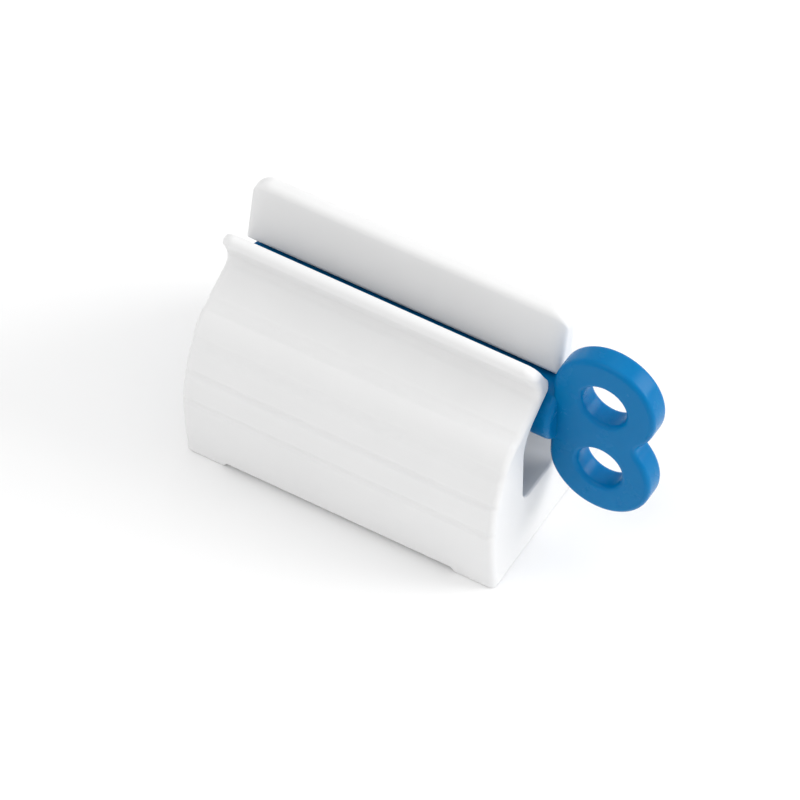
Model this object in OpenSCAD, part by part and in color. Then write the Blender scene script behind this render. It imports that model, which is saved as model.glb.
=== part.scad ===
// Squeeze dispenser for a paste tube: a one-piece body with an S-shaped section and a slit winding key.
// Millimetres. +Z is up, the tube lies along X, the plain lip and the grooves face -Y.
// The origin is on the table, under the middle of the whole object's box.

/* [Body] */
// Length along the roller
body_length = 55; // [50:1:80]
// Depth at the widest belly line
body_depth = 40; // [40:0.5:44]
// Height of the rear slab's top edge
body_height = 42; // [40:0.5:45]
// How far each foot stands in from the belly
foot_draw = 0.95; // [0.4:0.05:1.4]
// Height where the front belly starts to curve in
front_belly_height = 16.4; // [15.5:0.1:17.5]
// Height of the front shoulder
front_shoulder_height = 26.6; // [26:0.1:27.2]
// How far the front shoulder stands in from the belly
front_shoulder_in = 4.5; // [4:0.1:5]
// Height where the rear belly starts to curve in
rear_belly_height = 13.5; // [12.5:0.1:14.5]
// Height of the rear shoulder
rear_shoulder_height = 24.2; // [23.6:0.1:24.8]
// How far the rear shoulder stands in from the belly
rear_shoulder_in = 5.5; // [5:0.1:6]
// Rounding of both shoulders
shoulder_round = 9; // [7:0.5:10]
// Rounding of both bellies
belly_round = 22; // [16:1:24]

/* [Neck and mouth] */
// Middle of the slot and of the roller, measured along Y
slot_y = -1.4; // [-2:0.1:-1]
// Width of the throat the tube slides through
throat_width = 3.8; // [3.2:0.1:4.2]
// Height of the throat's lower end
throat_height = 31.4; // [31.2:0.1:31.7]
// Length of the throat's parallel part
throat_length = 1.8; // [1.6:0.1:2.2]
// Rise of the front lip's top edge above the throat's lower end
lip_rise = 7.2; // [6.6:0.1:8]
// Thickness of the front lip at its top
lip_thickness = 2.5; // [2.3:0.1:3]
// Thickness of the neck wall in front of the throat
neck_wall = 2.8; // [2.5:0.1:3]
// How far the front lip leans out from the neck
lip_lean = 2.5; // [1.8:0.1:3]
// How far the rear slab's front face leans back over its height
slab_lean = 1.4; // [1:0.1:1.8]
// Thickness of the rear slab at its top edge
slab_thickness = 3.3; // [3.2:0.1:3.6]
// Thickness of the rear slab at its foot
slab_foot = 3.8; // [3.6:0.1:4.2]
// Rounding of the front lip's end corners
lip_corner = 2.3; // [1:0.1:3]
// Rounding of the rear slab's end corners
slab_corner = 3; // [1:0.1:4]

/* [Chamber] */
// Clear width of the roller chamber
chamber_width = 18; // [16:0.5:18.5]
// Height of the chamber floor
chamber_floor = 12.3; // [12:0.1:13.5]
// Height where the chamber starts to narrow to the throat
flare_height = 26.4; // [26.2:0.1:26.8]

/* [Underside] */
// Thickness of the outer wall over the hollow underside
outer_wall = 2.2; // [1.8:0.1:2.4]
// Thickness of the skin round the chamber
chamber_skin = 2; // [1.6:0.1:2.2]
// Thickness of the closed end walls
end_wall = 2.2; // [2:0.1:3]
// Number of cross ribs under the chamber
rib_count = 2; // [1:1:3]
// Thickness of each cross rib
rib = 1.6; // [1.2:0.1:2]
// Length of each foot along X
foot_length = 7.6; // [5:0.2:9]
// Height of the arch between the feet
arch_height = 1.2; // [0.8:0.1:2]
// Run of the arch's slanted ends
arch_slant = 1; // [0.5:0.1:1.5]

/* [Front grooves] */
// Width of the two upper grooves
wide_groove = 2.4; // [1.6:0.1:2.6]
// Width of the two lower grooves
narrow_groove = 1.2; // [0.8:0.1:1.6]
// Depth of the grooves
groove_depth = 0.22; // [0.1:0.01:0.3]

/* [Key] */
// Radius of the roller
roller_radius = 5; // [4.5:0.1:5.4]
// Play between the roller and the shoulders it bears on
roller_gap = 0.9; // [0.3:0.1:1.1]
// Width of the slit that grips the tube's end
slit_width = 1.8; // [1.4:0.1:2.2]
// Solid length of the roller between the slit and the bow
slit_end = 3.5; // [2.5:0.5:6]
// How far the roller stops short of the body's closed end
roller_short = 0.6; // [0.4:0.1:1.5]
// Lead-in on the roller's tips
tip_chamfer = 0.8; // [0.4:0.1:1.2]
// Gap between the bow and the body's end
bow_gap = 0.5; // [0.3:0.05:1.5]
// How far the roller's end runs on over the bow's edge
roller_over = 1.2; // [0.9:0.1:1.8]
// Rounding of the roller's end on the bow
roller_end_round = 1; // [0.6:0.1:1.4]
// Thickness of the bow's plate
bow_thickness = 4.3; // [3.6:0.1:4.8]
// Radius of each lobe
lobe_radius = 8.6; // [8.2:0.1:9.4]
// Distance between the two lobes' middles
lobe_spacing = 14.3; // [13:0.1:15]
// Distance between the two finger holes' middles
hole_spacing = 13.5; // [12:0.1:15]
// Radius of each finger hole
finger_hole_radius = 3.8; // [3.4:0.1:4.6]
// Rounding of the bow's outer edge
bow_edge = 0.9; // [0.5:0.1:1.2]
// Rounding of the finger holes' rims
rim_round = 0.8; // [0.3:0.1:1]
// Fillet in the notch between the lobes
notch_fillet = 2; // [0.6:0.1:3]
// How far the key's top is turned towards the rear, in degrees
key_lean = 2.5; // [0:0.5:10]

/* [Hidden] */
$fn = 96;
facet_angle = 4;
white = [0.93, 0.93, 0.92];
blue = [0.05, 0.33, 0.60];

half_depth = body_depth / 2;
bow_reach = bow_gap + 2 * lobe_radius;
centre_x = -bow_reach / 2;
body_left = centre_x - body_length / 2;
body_right = centre_x + body_length / 2;
bow_left = body_right + bow_gap;
hole_x = bow_left + lobe_radius;

throat_front = slot_y - throat_width / 2;
throat_rear = slot_y + throat_width / 2;
neck_y = throat_front - neck_wall;
crease_y = neck_y - 0.2;
crease_height = throat_height + 0.1;
throat_top = throat_height + throat_length;
lip_height = throat_height + lip_rise;
chamber_front = slot_y - chamber_width / 2;
chamber_rear = slot_y + chamber_width / 2;

flare_run = chamber_width / 2 - throat_width / 2;
flare_slope = atan2(throat_height - flare_height, flare_run);
roller_drop = (roller_radius + roller_gap - throat_width / 2 * sin(flare_slope)) / cos(flare_slope);
roller_z = throat_height - roller_drop;
roller_left = body_left + roller_short;
roller_right = bow_left + roller_over;

// Outline corners as [y, z, rounding], clockwise seen from the key's end looking along -X.
front_side = [
    [-half_depth + foot_draw, 0, 0.6],
    [-half_depth, 8, 60],
    [-half_depth, front_belly_height, belly_round],
    [-half_depth + front_shoulder_in, front_shoulder_height, shoulder_round],
    [crease_y, crease_height, 1.2]
];
front_lip = [
    [neck_y, throat_top + 0.2, 2.5],
    [neck_y - lip_lean, lip_height, 1.1],
    [neck_y - lip_lean + lip_thickness, lip_height, 1]
];
chamber_side = [
    [throat_front, throat_height, 1],
    [chamber_front, flare_height, 7],
    [chamber_front, chamber_floor, 2],
    [chamber_rear, chamber_floor, 2],
    [chamber_rear, flare_height, 7],
    [throat_rear, throat_height, 1]
];
rear_slab = [
    [throat_rear + slab_lean, body_height, 1.2],
    [throat_rear + slab_lean + slab_thickness, body_height, 1.6]
];
rear_side = [
    [throat_rear + slab_foot, throat_height - 0.2, 2],
    [half_depth - rear_shoulder_in, rear_shoulder_height, shoulder_round],
    [half_depth, rear_belly_height, belly_round],
    [half_depth, 6, 25],
    [half_depth - foot_draw, 0, 0.6]
];
whole_section = concat(
    front_side, front_lip, [[throat_front, throat_top, 2.5]], chamber_side, rear_slab, rear_side
);

// Unit vector along v
function unit(v) = v / norm(v);

// First two numbers of a corner
function flat(c) = [c[0], c[1]];

// Points round the corner c, of rounding r, between its neighbours p and n
function corner_points(p, c, n, r) =
    let (
        u = unit(p - c),
        v = unit(n - c),
        half = acos(u * v) / 2,
        middle = c + unit(u + v) * r / sin(half),
        from_middle = c + u * r / tan(half) - middle,
        to_middle = c + v * r / tan(half) - middle,
        first = atan2(from_middle[1], from_middle[0]),
        crossed = from_middle[0] * to_middle[1] - from_middle[1] * to_middle[0],
        turn = atan2(crossed, from_middle * to_middle),
        steps = max(2, ceil(abs(turn) / facet_angle))
    )
    [for (i = [0 : steps]) middle + r * [cos(first + turn * i / steps), sin(first + turn * i / steps)]];

// All points of a closed outline of rounded corners
function rounded(c) = [
    for (i = [0 : len(c) - 1])
        for (p = corner_points(
            flat(c[(i + len(c) - 1) % len(c)]), flat(c[i]), flat(c[(i + 1) % len(c)]), c[i][2]
        )) p
];

// Corners of a clockwise outline moved inwards by t; an outline that runs the other way grows by t
function inset(c, t) = [
    for (i = [0 : len(c) - 1])
        let (
            a = unit(flat(c[i]) - flat(c[(i + len(c) - 1) % len(c)])),
            b = unit(flat(c[(i + 1) % len(c)]) - flat(c[i])),
            na = [a[1], -a[0]],
            nb = [b[1], -b[0]],
            moved = flat(c[i]) + t * (na + nb) / (1 + na * nb),
            bends_in = a[0] * b[1] - a[1] * b[0] > 0
        )
        [moved[0], moved[1], max(0.3, c[i][2] + (bends_in ? t : -t))]
];

// Point of the front side at height z, with the outward normal there, as [y, ny, nz]
front_points = rounded(front_side);
function front_at(z) =
    let (
        k = [
            for (i = [0 : len(front_points) - 2])
                if (front_points[i][1] <= z && front_points[i + 1][1] > z && front_points[i][0] < -5) i
        ][0],
        a = front_points[k],
        b = front_points[k + 1],
        d = unit(b - a)
    )
    [a[0] + (b[0] - a[0]) * (z - a[1]) / (b[1] - a[1]), -d[1], d[0]];

// Extrudes a Y-Z drawing from x0 to x1
module along_x(x0, x1) {
    translate([x0, 0, 0])
        rotate([90, 0, 90])
            linear_extrude(x1 - x0)
                children();
}

// Extrudes an X-Z drawing from y0 to y1
module along_y(y0, y1) {
    translate([0, y1, 0])
        rotate([90, 0, 0])
            linear_extrude(y1 - y0)
                children();
}

// Cuts a square end corner away outside a quarter round of radius r, at both ends of the body
module end_corners(top, r, y0, y1) {
    along_y(y0, y1)
        difference() {
            translate([body_left - 1, top - r])
                square([body_length + 2, r + 1]);
            translate([body_left + r, top - r - 1])
                square([body_length - 2 * r, r + 3]);
            translate([body_left + r, top - r])
                circle(r);
            translate([body_right - r, top - r])
                circle(r);
        }
}

// Shallow round-bottomed groove along the whole front at height z
module groove(z, width) {
    f = front_at(z);
    r = (width * width / 4 + groove_depth * groove_depth) / (2 * groove_depth);
    translate([body_left - 1, f[0] + f[1] * (r - groove_depth), z + f[2] * (r - groove_depth)])
        rotate([0, 90, 0])
            cylinder(h = body_length + 2, r = r);
}

// Arch under the body that leaves a foot at each end
module arch() {
    x0 = body_left + foot_length;
    x1 = body_right - foot_length;
    along_y(-half_depth - 1, half_depth + 1)
        polygon([
            [x0 - arch_slant, -1],
            [x0 - arch_slant, 0],
            [x0, arch_height],
            [x1, arch_height],
            [x1 + arch_slant, 0],
            [x1 + arch_slant, -1]
        ]);
}

// Section of the hollow under the chamber, open below
module hollow_section() {
    below = outer_wall + 1;
    draw = foot_draw * below / 8;
    shell = concat(
        [[-half_depth + foot_draw + draw, -below, 0.6]],
        [for (i = [1 : len(front_side) - 1]) front_side[i]],
        [for (i = [0 : len(rear_side) - 2]) rear_side[i]],
        [[half_depth - foot_draw - draw, -below, 0.6]]
    );
    difference() {
        polygon(rounded(inset(shell, outer_wall)));
        polygon(rounded(inset(chamber_side, chamber_skin)));
    }
}

// The bays of the hollow, between the end walls and the cross ribs
module hollow() {
    bays = rib_count + 1;
    pitch = (body_length - 2 * end_wall + rib) / bays;
    for (i = [0 : bays - 1])
        along_x(body_left + end_wall + i * pitch, body_left + end_wall + (i + 1) * pitch - rib)
            hollow_section();
}

module body() {
    color(white)
        difference() {
            along_x(body_left, body_right)
                polygon(rounded(whole_section));
            end_corners(lip_height, lip_corner, -half_depth, slot_y);
            end_corners(body_height, slab_corner, slot_y, half_depth);
            hollow();
            arch();
            groove(crease_height * 0.9, wide_groove);
            groove(crease_height * 0.75, wide_groove);
            groove(crease_height * 0.595, narrow_groove);
            groove(crease_height * 0.42, narrow_groove);
        }
}

// Half section of a round plate of radius r with rounded edges, for turning
module plate_section(r) {
    half = bow_thickness / 2;
    translate([0, -half])
        square([r - bow_edge, bow_thickness]);
    translate([0, bow_edge - half])
        square([r, bow_thickness - 2 * bow_edge]);
    for (s = [-1, 1])
        translate([r - bow_edge, s * (half - bow_edge)])
            circle(bow_edge);
}

// Half section of a finger hole with rounded rims, for turning
module hole_section() {
    half = bow_thickness / 2;
    translate([0, -half - 1])
        square([finger_hole_radius, bow_thickness + 2]);
    for (s = [-1, 1])
        difference() {
            translate([finger_hole_radius - 0.1, s * (half + 0.5 - rim_round / 2) - rim_round / 2 - 0.5])
                square([rim_round + 0.1, rim_round + 1]);
            translate([finger_hole_radius + rim_round, s * (half - rim_round)])
                circle(rim_round);
        }
}

// Turns a section about an axis along Y
module turned_about_y(x, z) {
    translate([x, 0, z])
        rotate([90, 0, 0])
            rotate_extrude()
                children();
}

// The bow in its own place along X, with the key's axis at zero
module bow() {
    difference() {
        union() {
            for (s = [-1, 1])
                turned_about_y(hole_x, s * lobe_spacing / 2)
                    plate_section(lobe_radius);
            translate([hole_x, 0, -lobe_spacing / 2])
                linear_extrude(lobe_spacing)
                    mirror([1, 0])
                        plate_section(lobe_radius);
            notch_fill();
        }
        for (s = [-1, 1])
            turned_about_y(hole_x, s * hole_spacing / 2)
                hole_section();
    }
}

// Small fillet where the two lobes meet
module notch_fill() {
    reach = sqrt(pow(lobe_radius + notch_fillet, 2) - pow(lobe_spacing / 2, 2));
    touch = lobe_radius / (lobe_radius + notch_fillet);
    half = bow_thickness / 2 - bow_edge;
    along_y(-half, half)
        difference() {
            polygon([
                [hole_x + reach * touch - 2, 0],
                [hole_x + reach * touch, lobe_spacing / 2 * (1 - touch)],
                [hole_x + reach * touch, -lobe_spacing / 2 * (1 - touch)]
            ]);
            translate([hole_x + reach, 0])
                circle(notch_fillet);
        }
}

// Half section of the roller, from its chamfered tips to its rounded end, for turning
module roller_section() {
    run = roller_right - roller_left;
    polygon([
        [0, 0],
        [roller_radius - tip_chamfer, 0],
        [roller_radius, tip_chamfer],
        [roller_radius, run - roller_end_round],
        [0, run - roller_end_round]
    ]);
    translate([0, run / 2])
        square([roller_radius - roller_end_round, run / 2]);
    translate([roller_radius - roller_end_round, run - roller_end_round])
        circle(roller_end_round);
}

// Roller with the slit that takes the tube's end
module roller() {
    slit_right = body_right - slit_end;
    difference() {
        translate([roller_left, 0, 0])
            rotate([0, 90, 0])
                rotate_extrude()
                    roller_section();
        translate([roller_left - 1, -slit_width / 2, -roller_radius - 1])
            cube([slit_right - slit_width / 2 - roller_left + 1, slit_width, 2 * roller_radius + 2]);
        translate([slit_right - slit_width / 2, 0, -roller_radius - 1])
            cylinder(h = 2 * roller_radius + 2, r = slit_width / 2);
    }
}

module key() {
    color(blue)
        translate([0, slot_y, roller_z])
            rotate([-key_lean, 0, 0]) {
                bow();
                roller();
            }
}

body();
key();
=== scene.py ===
import math
from collections import namedtuple

import bmesh
import bpy
from mathutils import Matrix, Vector


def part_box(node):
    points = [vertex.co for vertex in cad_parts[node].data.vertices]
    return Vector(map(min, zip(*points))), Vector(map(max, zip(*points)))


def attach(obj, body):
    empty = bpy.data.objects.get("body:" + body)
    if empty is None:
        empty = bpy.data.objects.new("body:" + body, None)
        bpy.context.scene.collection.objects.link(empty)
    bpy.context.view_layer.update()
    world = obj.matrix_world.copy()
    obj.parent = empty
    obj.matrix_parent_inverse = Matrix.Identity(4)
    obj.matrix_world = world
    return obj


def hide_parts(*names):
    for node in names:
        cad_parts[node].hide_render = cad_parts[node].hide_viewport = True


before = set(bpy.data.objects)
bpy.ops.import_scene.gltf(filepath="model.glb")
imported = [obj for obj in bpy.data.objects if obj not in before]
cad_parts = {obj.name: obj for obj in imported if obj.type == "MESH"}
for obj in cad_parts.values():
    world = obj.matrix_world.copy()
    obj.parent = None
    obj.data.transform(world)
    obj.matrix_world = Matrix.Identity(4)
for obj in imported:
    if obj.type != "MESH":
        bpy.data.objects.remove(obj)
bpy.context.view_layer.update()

# Lengths are in millimetres, as in the part's source, and become metres when a mesh is made.
# X runs along the body to the key, Y to the rear and Z up.
MM = 0.001

body_low, body_high = [Vector(corner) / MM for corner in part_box("body")]
key_low, key_high = [Vector(corner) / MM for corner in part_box("key")]
BODY_LEFT = body_low.x
BODY_RIGHT = body_high.x
BODY_MIDDLE = (BODY_LEFT + BODY_RIGHT) / 2
HALF_DEPTH = body_high.y
SLAB_HEIGHT = body_high.z
KEY_LEFT = key_low.x
KEY_RIGHT = key_high.x
KEY_Z = (key_low.z + key_high.z) / 2

# Bellies and shoulders, as in the part's source
FOOT_DRAW = 0.95
FOOT_ROUND = 0.6
FRONT_SIDE_HEIGHT = 8
FRONT_SIDE_ROUND = 60
FRONT_BELLY_HEIGHT = 16.4
FRONT_SHOULDER_HEIGHT = 26.6
FRONT_SHOULDER_IN = 4.5
REAR_SIDE_HEIGHT = 6
REAR_SIDE_ROUND = 25
REAR_BELLY_HEIGHT = 13.5
REAR_SHOULDER_HEIGHT = 24.2
REAR_SHOULDER_IN = 5.5
BELLY_ROUND = 22
SHOULDER_ROUND = 9

# Slot, neck, lip and slab, as in the part's source
SLOT_Y = -1.4
THROAT_WIDTH = 3.8
THROAT_HEIGHT = 31.4
THROAT_LENGTH = 1.8
THROAT_ROUND = 1
THROAT_TOP_ROUND = 2.5
CREASE_IN = 0.2
CREASE_RISE = 0.1
CREASE_ROUND = 1.2
NECK_WALL = 2.8
NECK_RISE = 0.2
NECK_ROUND = 2.5
LIP_RISE = 7.2
LIP_THICKNESS = 2.5
LIP_LEAN = 2.5
LIP_FRONT_ROUND = 1.1
LIP_REAR_ROUND = 1.0
LIP_CORNER = 2.3
SLAB_LEAN = 1.4
SLAB_THICKNESS = 3.3
SLAB_FOOT = 3.8
SLAB_FOOT_DROP = 0.2
SLAB_FOOT_ROUND = 2
SLAB_FRONT_ROUND = 1.2
SLAB_REAR_ROUND = 1.6
SLAB_CORNER = 3.0

# Chamber, underside and grooves, as in the part's source
CHAMBER_WIDTH = 18.0
CHAMBER_FLOOR = 12.3
CHAMBER_ROUND = 2
FLARE_HEIGHT = 26.4
FLARE_ROUND = 7
OUTER_WALL = 2.2
CHAMBER_SKIN = 2.0
END_WALL = 2.2
RIB_COUNT = 2
RIB = 1.6
FOOT_LENGTH = 7.6
ARCH_HEIGHT = 1.2
ARCH_SLANT = 1.0
WIDE_GROOVE = 2.4
NARROW_GROOVE = 1.2
GROOVE_DEPTH = 0.22

# Body, only here: the photo's slot looks narrower at the slab's foot, and the end edges are rounded
SLOT_NARROWING = 0.9
OUTER_ROUND = 1.1
INNER_ROUND = 0.4

# Key, as in the part's source
ROLLER_RADIUS = 5.0
SLIT_WIDTH = 1.8
SLIT_END = 3.5
TIP_CHAMFER = 0.8
ROLLER_OVER = 1.2
ROLLER_END_ROUND = 1.0
BOW_THICKNESS = 4.3
LOBE_RADIUS = 8.6
LOBE_SPACING = 14.3
HOLE_SPACING = 13.5
HOLE_RADIUS = 3.8
BOW_EDGE = 0.9
RIM_ROUND = 0.8
NOTCH_FILLET = 2.0
KEY_LEAN = 2.5

# Key, only here: how far the chamfer's softened corners reach, along X and across
TIP_FACE_EASE = (0.1, 0.15)
TIP_SIDE_EASE = (0.3, 0.06)

THROAT_FRONT = SLOT_Y - THROAT_WIDTH / 2
THROAT_REAR = SLOT_Y + THROAT_WIDTH / 2
THROAT_TOP = THROAT_HEIGHT + THROAT_LENGTH
CREASE_HEIGHT = THROAT_HEIGHT + CREASE_RISE
NECK_Y = THROAT_FRONT - NECK_WALL
LIP_HEIGHT = THROAT_HEIGHT + LIP_RISE
CHAMBER_FRONT = SLOT_Y - CHAMBER_WIDTH / 2
CHAMBER_REAR = SLOT_Y + CHAMBER_WIDTH / 2
HOLE_X = KEY_RIGHT - LOBE_RADIUS
BOW_LEFT = HOLE_X - LOBE_RADIUS

# Height of each groove as a share of the crease's height, and its width
GROOVES = (
    (0.9, WIDE_GROOVE),
    (0.75, WIDE_GROOVE),
    (0.595, NARROW_GROOVE),
    (0.42, NARROW_GROOVE),
)

# How finely round forms are divided: degrees in an outline and over an edge, length across the grooves,
# and steps in each arc or turn
FACET_ANGLE = 4.0
END_TURNS = [math.radians(angle) for angle in range(0, 91, 15)]
GROOVE_STEP = 0.25
LOBE_STEPS = 64
FILLET_STEPS = 12
HOLE_STEPS = 72
ROLLER_STEPS = 96
SLIT_STEPS = 12

# Smallest rounding of a corner that is moved inwards
LEAST_ROUND = 0.08

# Edges sharper than this, in degrees, stay sharp, and flat faces keep their own shading
SHARP_ANGLE = 34
FLAT_FACE_WEIGHT = 80

# How far a cutting shape stands out beyond what it cuts
OVERCUT = 1

# A corner of the body's outline. The side that starts there has end_round at the body's ends, and
# end_cut, where it is given, is how far the ends fall back at the corner itself.
Corner = namedtuple("Corner", "y z rounding end_round end_cut", defaults=(OUTER_ROUND, None))


def section_sides(lip_drop=0.0, slab_drop=0.0):
    """The body's outline, clockwise: front, lip, chamber, slab and rear, with lip and slab cut lower."""
    lip_top = LIP_HEIGHT - lip_drop
    slab_top = SLAB_HEIGHT - slab_drop
    lip_share = (lip_top - THROAT_TOP) / (LIP_HEIGHT - THROAT_TOP)
    slab_share = (slab_top - THROAT_HEIGHT) / (SLAB_HEIGHT - THROAT_HEIGHT)
    lip_inner = NECK_Y - LIP_LEAN + LIP_THICKNESS
    slab_front = THROAT_REAR + SLAB_LEAN
    slab_front_foot = THROAT_REAR - SLOT_NARROWING
    slab_rear = slab_front + SLAB_THICKNESS
    slab_rear_foot = THROAT_REAR + SLAB_FOOT
    front = [
        Corner(-HALF_DEPTH + FOOT_DRAW, 0, FOOT_ROUND),
        Corner(-HALF_DEPTH, FRONT_SIDE_HEIGHT, FRONT_SIDE_ROUND),
        Corner(-HALF_DEPTH, FRONT_BELLY_HEIGHT, BELLY_ROUND),
        Corner(-HALF_DEPTH + FRONT_SHOULDER_IN, FRONT_SHOULDER_HEIGHT, SHOULDER_ROUND),
        Corner(NECK_Y - CREASE_IN, CREASE_HEIGHT, CREASE_ROUND),
    ]
    lip_front_y = NECK_Y - LIP_LEAN * lip_share
    lip_rear_y = THROAT_FRONT + (lip_inner - THROAT_FRONT) * lip_share
    lip = [
        Corner(NECK_Y, THROAT_TOP + NECK_RISE, NECK_ROUND),
        Corner(lip_front_y, lip_top, LIP_FRONT_ROUND, OUTER_ROUND, LIP_CORNER),
        Corner(lip_rear_y, lip_top, LIP_REAR_ROUND, INNER_ROUND, LIP_CORNER),
        Corner(THROAT_FRONT, THROAT_TOP, THROAT_TOP_ROUND, INNER_ROUND),
    ]
    chamber = [
        Corner(THROAT_FRONT, THROAT_HEIGHT, THROAT_ROUND, INNER_ROUND),
        Corner(CHAMBER_FRONT, FLARE_HEIGHT, FLARE_ROUND, INNER_ROUND),
        Corner(CHAMBER_FRONT, CHAMBER_FLOOR, CHAMBER_ROUND, INNER_ROUND),
        Corner(CHAMBER_REAR, CHAMBER_FLOOR, CHAMBER_ROUND, INNER_ROUND),
        Corner(CHAMBER_REAR, FLARE_HEIGHT, FLARE_ROUND, INNER_ROUND),
        Corner(slab_front_foot, THROAT_HEIGHT, THROAT_ROUND),
    ]
    slab_front_y = slab_front_foot + (slab_front - slab_front_foot) * slab_share
    slab_rear_y = slab_rear_foot + (slab_rear - slab_rear_foot) * slab_share
    slab = [
        Corner(slab_front_y, slab_top, SLAB_FRONT_ROUND, OUTER_ROUND, SLAB_CORNER),
        Corner(slab_rear_y, slab_top, SLAB_REAR_ROUND, OUTER_ROUND, SLAB_CORNER),
    ]
    rear = [
        Corner(slab_rear_foot, THROAT_HEIGHT - SLAB_FOOT_DROP, SLAB_FOOT_ROUND),
        Corner(HALF_DEPTH - REAR_SHOULDER_IN, REAR_SHOULDER_HEIGHT, SHOULDER_ROUND),
        Corner(HALF_DEPTH, REAR_BELLY_HEIGHT, BELLY_ROUND),
        Corner(HALF_DEPTH, REAR_SIDE_HEIGHT, REAR_SIDE_ROUND),
        Corner(HALF_DEPTH - FOOT_DRAW, 0, FOOT_ROUND, INNER_ROUND),
    ]
    return front, lip, chamber, slab, rear


def section_corners(lip_drop=0.0, slab_drop=0.0):
    return sum(section_sides(lip_drop, slab_drop), [])


def point(corner):
    return Vector((corner.y, corner.z))


def inset(corners, distances):
    """Corners of a clockwise outline whose sides move inwards, each by the distance given for its start."""
    moved = []
    for i, corner in enumerate(corners):
        a = (point(corner) - point(corners[i - 1])).normalized()
        b = (point(corners[(i + 1) % len(corners)]) - point(corner)).normalized()
        before = distances[i - 1]
        after = distances[i]
        turn = a.x * b.y - a.y * b.x
        place = point(corner) + (after * a - before * b) / turn
        mean = (before + after) / 2
        radius = max(LEAST_ROUND, corner.rounding + (mean if turn > 0 else -mean))
        moved.append(corner._replace(y=place.x, z=place.y, rounding=radius))
    return moved


def corner_arc(before, corner, after, radius):
    """Middle, first angle and turn of the arc that rounds a corner between its two neighbours."""
    u = (before - corner).normalized()
    v = (after - corner).normalized()
    half = math.acos(max(-1.0, min(1.0, u.dot(v)))) / 2
    middle = corner + (u + v).normalized() * radius / math.sin(half)
    start = corner + u * radius / math.tan(half) - middle
    stop = corner + v * radius / math.tan(half) - middle
    first = math.atan2(start.y, start.x)
    turn = math.atan2(start.x * stop.y - start.y * stop.x, start.dot(stop))
    return middle, first, turn


def polar(radius, angle):
    return Vector((radius * math.cos(angle), radius * math.sin(angle)))


def rounded(corners, counts=None):
    """Points of a closed outline with rounded corners, each point's mark, and each arc's steps.

    A mark is the corner's number and the share of its arc. The steps can be given, so that two
    outlines have the same points.
    """
    points, marks, used = [], [], []
    for i, corner in enumerate(corners):
        before = point(corners[i - 1])
        after = point(corners[(i + 1) % len(corners)])
        middle, first, turn = corner_arc(before, point(corner), after, corner.rounding)
        steps = counts[i] if counts else max(2, math.ceil(abs(math.degrees(turn)) / FACET_ANGLE))
        used.append(steps)
        for k in range(steps + 1):
            points.append(middle + polar(corner.rounding, first + turn * k / steps))
            marks.append((i, k / steps))
    return points, marks, used


def edge_parts(points, front_count):
    """How many parts each edge of the outline is cut into: many across the front, for its grooves."""
    parts = []
    for i, p in enumerate(points):
        span = (points[(i + 1) % len(points)] - p).length
        parts.append(max(1, math.ceil(span / GROOVE_STEP)) if i < front_count else 1)
    return parts


def divided(points, parts):
    """Points of an outline with each of its edges cut into the given number of parts."""
    out = []
    for i, p in enumerate(points):
        q = points[(i + 1) % len(points)]
        out += [p.lerp(q, k / parts[i]) for k in range(parts[i])]
    return out


def outward_normals(points):
    normals = []
    for i in range(len(points)):
        along = points[(i + 1) % len(points)] - points[i - 1]
        normals.append(Vector((along.y, -along.x)).normalized())
    return normals


def groove_depths(points, front_count):
    """How deep each point of the outline lies in a groove; the front's points come first."""
    depths = [0.0] * len(points)
    for share, width in GROOVES:
        height = CREASE_HEIGHT * share
        centre = next(
            points[i].lerp(points[i + 1], (height - points[i].y) / (points[i + 1].y - points[i].y))
            for i in range(front_count)
            if points[i].y <= height < points[i + 1].y
        )
        curve = (width * width / 4 + GROOVE_DEPTH ** 2) / (2 * GROOVE_DEPTH)
        for i in range(front_count):
            off = (points[i] - centre).length
            if off < width / 2:
                depths[i] = math.sqrt(curve ** 2 - off ** 2) - (curve - GROOVE_DEPTH)
    return depths


def end_reaches(corners, marks, parts):
    """How far each point of the outline falls back where the body's ends are rounded."""
    reaches = []
    for (i, share), copies in zip(marks, parts):
        before = corners[i - 1].end_round
        reach = corners[i].end_cut or before + (corners[i].end_round - before) * share
        reaches += [reach] * copies
    return reaches


def new_object(name, bm):
    mesh = bpy.data.meshes.new(name)
    bm.to_mesh(mesh)
    bm.free()
    obj = bpy.data.objects.new(name, mesh)
    bpy.context.scene.collection.objects.link(obj)
    return obj


def new_vertex(bm, x, y, z):
    return bm.verts.new(Vector((x, y, z)) * MM)


def skin(bm, rings):
    """Faces between neighbouring rings of equally many vertices."""
    for a, b in zip(rings[:-1], rings[1:]):
        for i in range(len(a)):
            j = (i + 1) % len(a)
            bm.faces.new((a[i], a[j], b[j], b[i]))


def prism(name, outline, to_space, span):
    """A closed prism over an outline; to_space turns (a, b, along) into x, y and z."""
    bm = bmesh.new()
    low, high = [[new_vertex(bm, *to_space(a, b, along)) for a, b in outline] for along in span]
    skin(bm, [low, high])
    bm.faces.new(low)
    bm.faces.new(list(reversed(high)))
    bmesh.ops.recalc_face_normals(bm, faces=bm.faces)
    return new_object(name, bm)


def carve(obj, cutter, operation="DIFFERENCE"):
    """Applies an exact boolean and removes the cutter."""
    modifier = obj.modifiers.new("carve", "BOOLEAN")
    modifier.solver = "EXACT"
    modifier.operation = operation
    modifier.object = cutter
    graph = bpy.context.evaluated_depsgraph_get()
    mesh = bpy.data.meshes.new_from_object(obj.evaluated_get(graph))
    obj.modifiers.clear()
    old = obj.data
    obj.data = mesh
    bpy.data.meshes.remove(old)
    bpy.data.objects.remove(cutter)


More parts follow.
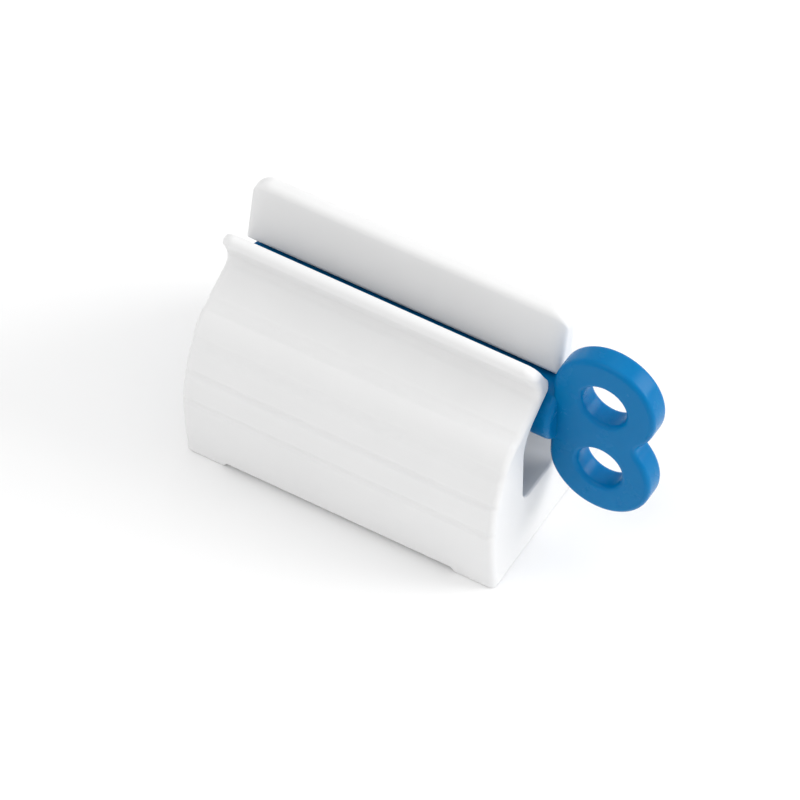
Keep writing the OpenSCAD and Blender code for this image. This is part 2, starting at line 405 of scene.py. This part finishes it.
def finish_mesh(obj):
    """Smooth faces with sharp edges kept, and flat faces kept flat."""
    obj.data.shade_smooth()
    obj.data.set_sharp_from_angle(angle=math.radians(SHARP_ANGLE))
    weights = obj.modifiers.new("face weights", "WEIGHTED_NORMAL")
    weights.keep_sharp = True
    weights.weight = FLAT_FACE_WEIGHT


def body_rows():
    """The grooved outline at each step round an end edge, as pairs of distance from the end and point."""
    corners = section_corners()
    points, marks, counts = rounded(corners)
    front = section_sides()[0]
    front_edges = sum(steps + 1 for steps in counts[: len(front)]) - 1
    parts = edge_parts(points, front_edges)
    base = divided(points, parts)
    depths = groove_depths(base, sum(parts[:front_edges]))
    normals = outward_normals(base)
    reaches = end_reaches(corners, marks, parts)
    rows = []
    for angle in END_TURNS:
        fall = 1 - math.cos(angle)
        run = 1 - math.sin(angle)
        lowered = section_corners((LIP_CORNER - OUTER_ROUND) * fall, (SLAB_CORNER - OUTER_ROUND) * fall)
        outline, _, _ = rounded(inset(lowered, [corner.end_round * fall for corner in lowered]), counts)
        grooved = [p + n * depth for p, n, depth in zip(divided(outline, parts), normals, depths)]
        rows.append([(reach * run, p) for reach, p in zip(reaches, grooved)])
    return rows


def make_shell():
    """The body's outside, slot and chamber, closed at both ends by flat caps."""
    bm = bmesh.new()
    rows = body_rows()
    rings = [[new_vertex(bm, BODY_LEFT + back, p.x, p.y) for back, p in row] for row in reversed(rows)]
    rings += [[new_vertex(bm, BODY_RIGHT - back, p.x, p.y) for back, p in row] for row in rows]
    skin(bm, rings)
    caps = [bm.faces.new(rings[0]), bm.faces.new(list(reversed(rings[-1])))]
    for cap in caps:
        cap.normal_update()
    bmesh.ops.triangulate(bm, faces=caps, ngon_method="EAR_CLIP")
    bmesh.ops.recalc_face_normals(bm, faces=bm.faces)
    return new_object("body_shell", bm)


def hollow_underside(body):
    """Takes out the hollow below the chamber, in bays between the end walls and the ribs."""
    front, _, chamber, _, rear = section_sides()
    below = OUTER_WALL + OVERCUT
    foot_y = HALF_DEPTH - FOOT_DRAW - FOOT_DRAW * below / FRONT_SIDE_HEIGHT
    front_foot = Corner(-foot_y, -below, FOOT_ROUND)
    rear_foot = Corner(foot_y, -below, FOOT_ROUND)
    shell = [front_foot] + front[1:] + rear[:-1] + [rear_foot]
    hollow_outline, _, _ = rounded(inset(shell, [OUTER_WALL] * len(shell)))
    skin_outline, _, _ = rounded(inset(chamber, [CHAMBER_SKIN] * len(chamber)))
    bays = RIB_COUNT + 1
    pitch = (BODY_RIGHT - BODY_LEFT - 2 * END_WALL + RIB) / bays
    for bay in range(bays):
        start = BODY_LEFT + END_WALL + bay * pitch
        stop = start + pitch - RIB
        cutter = prism("bay", hollow_outline, lambda y, z, x: (x, y, z), (start, stop))
        chamber_block = prism(
            "skin", skin_outline, lambda y, z, x: (x, y, z), (start - OVERCUT, stop + OVERCUT)
        )
        carve(cutter, chamber_block)
        carve(body, cutter)


def cut_arch(body):
    """Takes out the arch that leaves a foot at each end."""
    left = BODY_LEFT + FOOT_LENGTH
    right = BODY_RIGHT - FOOT_LENGTH
    outline = [
        (left - ARCH_SLANT, -OVERCUT),
        (left - ARCH_SLANT, 0),
        (left, ARCH_HEIGHT),
        (right, ARCH_HEIGHT),
        (right + ARCH_SLANT, 0),
        (right + ARCH_SLANT, -OVERCUT),
    ]
    reach = HALF_DEPTH + OVERCUT
    carve(body, prism("arch", outline, lambda x, z, y: (x, y, z), (-reach, reach)))


def make_body():
    body = make_shell()
    hollow_underside(body)
    cut_arch(body)
    finish_mesh(body)
    return body


def bow_outline(inwards):
    """The two-lobed outline in X and Z about the key's axis, moved inwards."""
    radius = LOBE_RADIUS - inwards
    fillet = NOTCH_FILLET + inwards
    half = LOBE_SPACING / 2
    reach = math.sqrt((LOBE_RADIUS + NOTCH_FILLET) ** 2 - half ** 2)
    lean = math.atan2(half, reach)
    upper = []
    for k in range(LOBE_STEPS + 1):
        angle = math.pi - (math.pi + lean) * k / LOBE_STEPS
        upper.append((HOLE_X + radius * math.cos(angle), half + radius * math.sin(angle)))
    notch = []
    for k in range(1, FILLET_STEPS):
        angle = math.pi - lean + 2 * lean * k / FILLET_STEPS
        notch.append((HOLE_X + reach + fillet * math.cos(angle), fillet * math.sin(angle)))
    lower = [(x, -z) for x, z in reversed(upper)]
    return upper + notch + lower


def plate_edge(rounding):
    """Section of a rounded edge of the bow, from face to face: distance from the edge, and Y."""
    half = BOW_THICKNESS / 2
    side = [(rounding * (1 - math.cos(a)), half - rounding + rounding * math.sin(a)) for a in END_TURNS]
    return [(t, -y) for t, y in reversed(side)] + side


def hole_ring(bm, radius, y, middle_z):
    ring = []
    for k in range(HOLE_STEPS):
        angle = 2 * math.pi * k / HOLE_STEPS
        x = HOLE_X + radius * math.cos(angle)
        ring.append(new_vertex(bm, x, y, middle_z + radius * math.sin(angle)))
    return ring


def make_bow():
    """The two-lobed plate about the key's axis, with rounded edges and two finger holes."""
    bm = bmesh.new()
    walls = [[[new_vertex(bm, x, y, z) for x, z in bow_outline(t)] for t, y in plate_edge(BOW_EDGE)]]
    for middle_z in (HOLE_SPACING / 2, -HOLE_SPACING / 2):
        walls.append([hole_ring(bm, HOLE_RADIUS + t, y, middle_z) for t, y in plate_edge(RIM_ROUND)])
    for rings in walls:
        skin(bm, rings)
    for face in (0, -1):
        edges = []
        for rings in walls:
            ring = rings[face]
            edges += [bm.edges.get((v, ring[(i + 1) % len(ring)])) for i, v in enumerate(ring)]
        bmesh.ops.triangle_fill(bm, use_beauty=True, use_dissolve=False, edges=edges)
    bmesh.ops.recalc_face_normals(bm, faces=bm.faces)
    return new_object("key_moulding", bm)


def roller_profile():
    """The roller's half section as x and radius, from its chamfered tips to its rounded end."""
    right = BOW_LEFT + ROLLER_OVER
    face_x, face_in = TIP_FACE_EASE
    side_x, side_in = TIP_SIDE_EASE
    profile = [
        (KEY_LEFT, ROLLER_RADIUS - TIP_CHAMFER - face_in),
        (KEY_LEFT + face_x, ROLLER_RADIUS - TIP_CHAMFER),
        (KEY_LEFT + TIP_CHAMFER, ROLLER_RADIUS - side_in),
        (KEY_LEFT + TIP_CHAMFER + side_x, ROLLER_RADIUS),
    ]
    for a in END_TURNS:
        x = right - ROLLER_END_ROUND * (1 - math.sin(a))
        profile.append((x, ROLLER_RADIUS - ROLLER_END_ROUND * (1 - math.cos(a))))
    return profile


def make_roller():
    """The roller turned about the key's axis, closed by a fan of faces at each end."""
    bm = bmesh.new()
    rings = []
    for x, radius in roller_profile():
        turns = [2 * math.pi * k / ROLLER_STEPS for k in range(ROLLER_STEPS)]
        rings.append([new_vertex(bm, x, radius * math.cos(a), radius * math.sin(a)) for a in turns])
    skin(bm, rings)
    for ring in (rings[0], rings[-1]):
        middle = bm.verts.new((ring[0].co.x, 0, 0))
        for i in range(ROLLER_STEPS):
            bm.faces.new((middle, ring[i], ring[(i + 1) % ROLLER_STEPS]))
    bmesh.ops.recalc_face_normals(bm, faces=bm.faces)
    return new_object("roller", bm)


def cut_slit(key):
    """Takes out the slit that grips the tube's end, open at the tips and round at its other end."""
    half = SLIT_WIDTH / 2
    right = BODY_RIGHT - SLIT_END - half
    outline = [(KEY_LEFT - OVERCUT, -half)]
    for k in range(SLIT_STEPS + 1):
        angle = -math.pi / 2 + math.pi * k / SLIT_STEPS
        outline.append((right + half * math.cos(angle), half * math.sin(angle)))
    outline.append((KEY_LEFT - OVERCUT, half))
    reach = ROLLER_RADIUS + OVERCUT
    carve(key, prism("slit", outline, lambda x, y, z: (x, y, z), (-reach, reach)))


def make_key():
    key = make_bow()
    carve(key, make_roller(), "UNION")
    cut_slit(key)
    lean = Matrix.Rotation(math.radians(-KEY_LEAN), 4, "X")
    key.data.transform(Matrix.Translation(Vector((0, SLOT_Y, KEY_Z)) * MM) @ lean)
    finish_mesh(key)
    return key


# Scales of the plastics' noises, in cells per metre, the part of a noise that is used, and the texture
NOISE_LOW = 0.3
NOISE_HIGH = 0.7
MOTTLE_SCALE = 90.0
SMEAR_SCALE = 260.0
FLOW_SCALE = 170.0
GRAIN_SCALE = 2600.0
FLOW_SHARE = 5.0
TEXTURE_HEIGHT = 0.04
TEXTURE_STRENGTH = 0.12


def plastic(name, colour, tint, roughness, specular, glow, glow_reach):
    """Moulded plastic: faint mottling of the colour, uneven gloss and a fine moulding texture."""
    material = bpy.data.materials.new(name)
    material.use_nodes = True
    nodes = material.node_tree.nodes
    links = material.node_tree.links
    shader = nodes["Principled BSDF"]
    coords = nodes.new("ShaderNodeTexCoord")

    def noise(scale, detail):
        node = nodes.new("ShaderNodeTexNoise")
        node.inputs["Scale"].default_value = scale
        node.inputs["Detail"].default_value = detail
        links.new(coords.outputs["Object"], node.inputs["Vector"])
        return node.outputs["Fac"]

    def spread(source, low, high):
        node = nodes.new("ShaderNodeMapRange")
        node.inputs["From Min"].default_value = NOISE_LOW
        node.inputs["From Max"].default_value = NOISE_HIGH
        node.inputs["To Min"].default_value = low
        node.inputs["To Max"].default_value = high
        links.new(source, node.inputs["Value"])
        return node.outputs["Result"]

    mottle = nodes.new("ShaderNodeMix")
    mottle.data_type = "RGBA"
    mottle.inputs["A"].default_value = (*colour, 1)
    mottle.inputs["B"].default_value = (*[c * tint for c in colour], 1)
    links.new(spread(noise(MOTTLE_SCALE, 3.0), 0.0, 1.0), mottle.inputs["Factor"])
    links.new(mottle.outputs["Result"], shader.inputs["Base Color"])

    gloss = spread(noise(SMEAR_SCALE, 4.0), roughness - 0.04, roughness + 0.05)
    links.new(gloss, shader.inputs["Roughness"])

    texture = nodes.new("ShaderNodeMath")
    texture.operation = "MULTIPLY_ADD"
    texture.inputs[1].default_value = FLOW_SHARE
    links.new(noise(FLOW_SCALE, 2.0), texture.inputs[0])
    links.new(noise(GRAIN_SCALE, 2.0), texture.inputs[2])
    bump = nodes.new("ShaderNodeBump")
    bump.inputs["Strength"].default_value = TEXTURE_STRENGTH
    bump.inputs["Distance"].default_value = TEXTURE_HEIGHT * MM
    links.new(texture.outputs["Value"], bump.inputs["Height"])
    links.new(bump.outputs["Normal"], shader.inputs["Normal"])

    shader.inputs["IOR"].default_value = 1.5
    shader.inputs["Specular IOR Level"].default_value = specular
    shader.inputs["Subsurface Weight"].default_value = glow
    shader.inputs["Subsurface Radius"].default_value = glow_reach
    shader.inputs["Subsurface Scale"].default_value = MM
    return material


def white_plastic():
    return plastic(
        "white plastic",
        colour=(0.80, 0.80, 0.80),
        tint=0.985,
        roughness=0.38,
        specular=0.4,
        glow=0.3,
        glow_reach=(0.8, 0.8, 0.8),
    )


def blue_plastic():
    return plastic(
        "blue plastic",
        colour=(0.0, 0.165, 0.405),
        tint=0.96,
        roughness=0.24,
        specular=0.11,
        glow=0.4,
        glow_reach=(0.2, 0.8, 1.2),
    )


def floor_paper():
    material = bpy.data.materials.new("floor paper")
    material.use_nodes = True
    shader = material.node_tree.nodes["Principled BSDF"]
    shader.inputs["Base Color"].default_value = (0.93, 0.93, 0.93, 1)
    shader.inputs["Roughness"].default_value = 0.9
    shader.inputs["Specular IOR Level"].default_value = 0.1
    return material


def put_material(obj, material):
    obj.data.materials.clear()
    obj.data.materials.append(material)


FLOOR_REACH = 3000
FLOOR_STEPS = 12


def make_floor():
    bm = bmesh.new()
    places = [FLOOR_REACH * (i / FLOOR_STEPS * 2 - 1) for i in range(FLOOR_STEPS + 1)]
    grid = [[new_vertex(bm, x, y, 0) for y in places] for x in places]
    for i in range(FLOOR_STEPS):
        for j in range(FLOOR_STEPS):
            bm.faces.new((grid[i][j], grid[i + 1][j], grid[i + 1][j + 1], grid[i][j + 1]))
    floor = new_object("floor", bm)
    put_material(floor, floor_paper())


def make_light(name, place, aim_height, size, power):
    """A soft light that looks at a height over the frame's middle."""
    data = bpy.data.lights.new(name, "AREA")
    data.shape = "RECTANGLE"
    data.size = size[0] * MM
    data.size_y = size[1] * MM
    data.energy = power
    light = bpy.data.objects.new(name, data)
    light.location = Vector(place) * MM
    aim = Vector((0, 0, aim_height))
    light.rotation_euler = (aim - Vector(place)).to_track_quat("-Z", "Y").to_euler()
    bpy.context.scene.collection.objects.link(light)


def make_world(strength):
    world = bpy.data.worlds.new("studio")
    world.use_nodes = True
    background = world.node_tree.nodes["Background"]
    background.inputs["Color"].default_value = (1, 1, 1, 1)
    background.inputs["Strength"].default_value = strength
    bpy.context.scene.world = world


# The camera, fitted to the photo: how it is turned and raised, how far off it stands, how far its view
# is moved from the body's middle, and how many pixels a millimetre takes there in an 800 pixel image.
CAMERA_AZIMUTH = math.radians(30.5)
CAMERA_ELEVATION = math.radians(50.0)
CAMERA_DISTANCE = 900.0
CAMERA_SIDE = -0.21
CAMERA_UP = 5.70
CAMERA_SCALE = 6.445
IMAGE_WIDTH = 800
SENSOR_WIDTH = 36


def make_camera():
    toward = Vector(
        (
            math.sin(CAMERA_AZIMUTH) * math.cos(CAMERA_ELEVATION),
            -math.cos(CAMERA_AZIMUTH) * math.cos(CAMERA_ELEVATION),
            math.sin(CAMERA_ELEVATION),
        )
    )
    side = Vector((math.cos(CAMERA_AZIMUTH), math.sin(CAMERA_AZIMUTH), 0))
    up = toward.cross(side)
    data = bpy.data.cameras.new("camera")
    data.sensor_fit = "HORIZONTAL"
    data.sensor_width = SENSOR_WIDTH
    data.lens = SENSOR_WIDTH * CAMERA_SCALE * CAMERA_DISTANCE / IMAGE_WIDTH
    data.clip_start = 0.01
    data.clip_end = 50
    camera = bpy.data.objects.new("camera", data)
    place = toward * CAMERA_DISTANCE + side * CAMERA_SIDE + up * CAMERA_UP + Vector((BODY_MIDDLE, 0, 0))
    turn = Matrix((side, up, toward)).transposed()
    camera.matrix_world = Matrix.Translation(place * MM) @ turn.to_4x4()
    bpy.context.scene.collection.objects.link(camera)
    bpy.context.scene.camera = camera


body = make_body()
key = make_key()
put_material(body, white_plastic())
put_material(key, blue_plastic())
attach(body, "body")
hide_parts("body")
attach(key, "key")
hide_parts("key")

make_floor()
make_world(0.73)
make_light("front softbox", (-80, -330, 600), 15, (600, 500), 1.05)
make_light("right softbox", (560, 320, 320), 20, (400, 400), 2.8)
make_light("top softbox", (60, 200, 600), 15, (600, 500), 0.6)
make_camera()
bpy.context.scene.view_settings.view_transform = "Standard"
